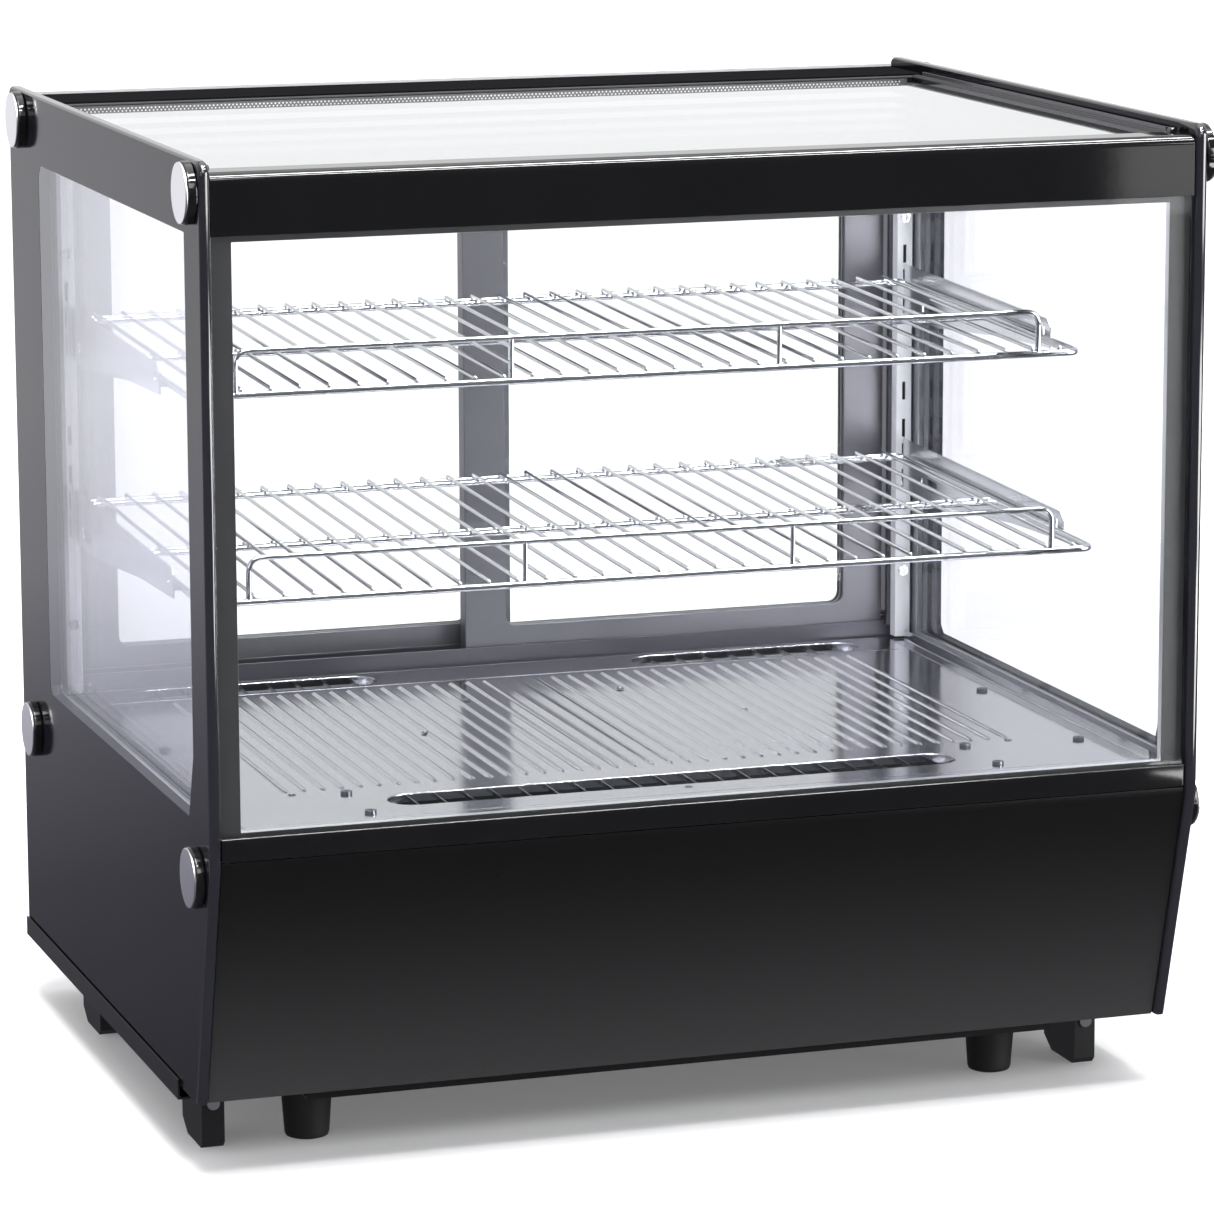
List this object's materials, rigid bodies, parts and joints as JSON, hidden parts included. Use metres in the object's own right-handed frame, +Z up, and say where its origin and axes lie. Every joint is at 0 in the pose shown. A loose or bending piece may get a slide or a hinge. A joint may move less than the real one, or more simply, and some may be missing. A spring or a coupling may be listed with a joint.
{
  "type": "bakery display case",
  "caption": "Countertop refrigerated bakery display case with double glazing, black printed sides, wire shelves, ribbed steel deck and sliding rear doors.",
  "frame": {"origin": "on the counter under the middle of the case", "axes": "+X to the customer's right when facing the front glass, +Y from the front glass to the rear doors, +Z up"},
  "size_m": [0.718, 0.568, 0.686],
  "materials": {
    "gloss_black_metal": "gloss powder coat",
    "satin_black_steel": "satin powder coat",
    "black_plastic": "moulded",
    "gloss_black_plastic": "gloss moulded",
    "black_rubber": "moulded",
    "bright_screw": "zinc plated",
    "chrome_wire": "bright chrome plate",
    "chrome_disc": "polished",
    "polished_stainless": "polished sheet",
    "zinc_sheet": "bright zinc plated sheet",
    "grey_aluminium": "satin dark anodised",
    "clear_glass": "clear tempered",
    "printed_glass": "tempered, black printed border",
    "white_liner": "white coated",
    "white_nylon": "natural nylon",
    "grey_key": "moulded",
    "green_key": "moulded",
    "coil_aluminium": "plain fins",
    "copper": "bare copper tube",
    "lamp_lens": "diffusing"
  },
  "bodies": {
    "case": {"base_pan": "satin_black_steel", "corner_blocks": "black_plastic", "round_feet": "black_rubber", "foot_screws": "bright_screw", "front_panel": "satin_black_steel", "front_trim": "gloss_black_metal", "front_sill_strip": "polished_stainless", "front_glass_outer": "clear_glass", "front_glass_inner": "clear_glass", "top_glass_outer": "clear_glass", "top_glass_inner": "clear_glass", "glazing_spacers": "black_plastic", "top_front_beam": "gloss_black_metal", "top_rear_beam": "gloss_black_metal", "top_left_rail": "grey_aluminium", "top_right_rail": "grey_aluminium", "left_side_glass": "printed_glass", "left_inner_glass": "clear_glass", "right_side_glass": "printed_glass", "right_inner_glass": "clear_glass", "cap_bodies": "gloss_black_plastic", "cap_discs": "chrome_disc", "cap_studs": "bright_screw", "rear_posts": "satin_black_steel", "shelf_pilasters": "zinc_sheet", "case_screws": "bright_screw", "upper_left_bracket": "zinc_sheet", "upper_right_bracket": "zinc_sheet", "lower_left_bracket": "zinc_sheet", "lower_right_bracket": "zinc_sheet", "deck": "polished_stainless", "insulated_tub": "white_liner", "top_door_track": "black_plastic", "bottom_door_track": "black_plastic", "rear_panel": "satin_black_steel", "control_fascia": "gloss_black_plastic", "cable_gland": "black_plastic", "compressor": "satin_black_steel", "condenser": "coil_aluminium", "condenser_fan_shroud": "satin_black_steel", "evaporator": "coil_aluminium", "evaporator_fan_frame": "black_plastic", "refrigerant_pipes": "copper", "condensate_tray": "black_plastic", "led_lamp": "lamp_lens"},
    "right_door": {"right_door_frame": "black_plastic", "right_door_glass": "clear_glass", "right_door_glides": "white_nylon"},
    "left_door": {"left_door_frame": "black_plastic", "left_door_glass": "clear_glass", "left_door_glides": "white_nylon"},
    "upper_shelf": {"upper_shelf": "chrome_wire"},
    "lower_shelf": {"lower_shelf": "chrome_wire"},
    "set_button": {"set_button": "grey_key"},
    "up_button": {"up_button": "grey_key"},
    "down_button": {"down_button": "grey_key"},
    "power_rocker": {"power_rocker": "green_key"},
    "light_rocker": {"light_rocker": "gloss_black_plastic"},
    "condenser_fan": {"condenser_fan_blade": "coil_aluminium"},
    "evaporator_fan": {"evaporator_fan_blade": "coil_aluminium"}
  },
  "joints": [
    {"name": "right_door_slide", "type": "slide", "parent": "case", "child": "right_door", "axis": [-1, 0, 0], "range_m": [0, 0.29]},
    {"name": "left_door_slide", "type": "slide", "parent": "case", "child": "left_door", "axis": [1, 0, 0], "range_m": [0, 0.29]},
    {"name": "upper_shelf_lift", "type": "slide", "parent": "case", "child": "upper_shelf", "axis": [0, 0, 1], "range_m": [0, 0.04]},
    {"name": "lower_shelf_lift", "type": "slide", "parent": "case", "child": "lower_shelf", "axis": [0, 0, 1], "range_m": [0, 0.04]},
    {"name": "set_button_press", "type": "slide", "parent": "case", "child": "set_button", "axis": [0, -1, 0], "range_m": [0, 0.0015], "stiffness_N_per_m": 400},
    {"name": "up_button_press", "type": "slide", "parent": "case", "child": "up_button", "axis": [0, -1, 0], "range_m": [0, 0.0015], "stiffness_N_per_m": 400},
    {"name": "down_button_press", "type": "slide", "parent": "case", "child": "down_button", "axis": [0, -1, 0], "range_m": [0, 0.0015], "stiffness_N_per_m": 400},
    {"name": "power_rocker_tilt", "type": "hinge", "parent": "case", "child": "power_rocker", "pos_m": [-0.175, 0.278, 0.176], "axis": [1, 0, 0], "range_deg": [0, 8]},
    {"name": "light_rocker_tilt", "type": "hinge", "parent": "case", "child": "light_rocker", "pos_m": [-0.147, 0.278, 0.176], "axis": [1, 0, 0], "range_deg": [0, 8]},
    {"name": "condenser_fan_spin", "type": "hinge", "parent": "case", "child": "condenser_fan", "pos_m": [0.189, 0.196, 0.128], "axis": [0, 1, 0], "continuous": true},
    {"name": "evaporator_fan_spin", "type": "hinge", "parent": "case", "child": "evaporator_fan", "pos_m": [-0.118, 0.006, 0.208], "axis": [0, 0, 1], "continuous": true}
  ]
}
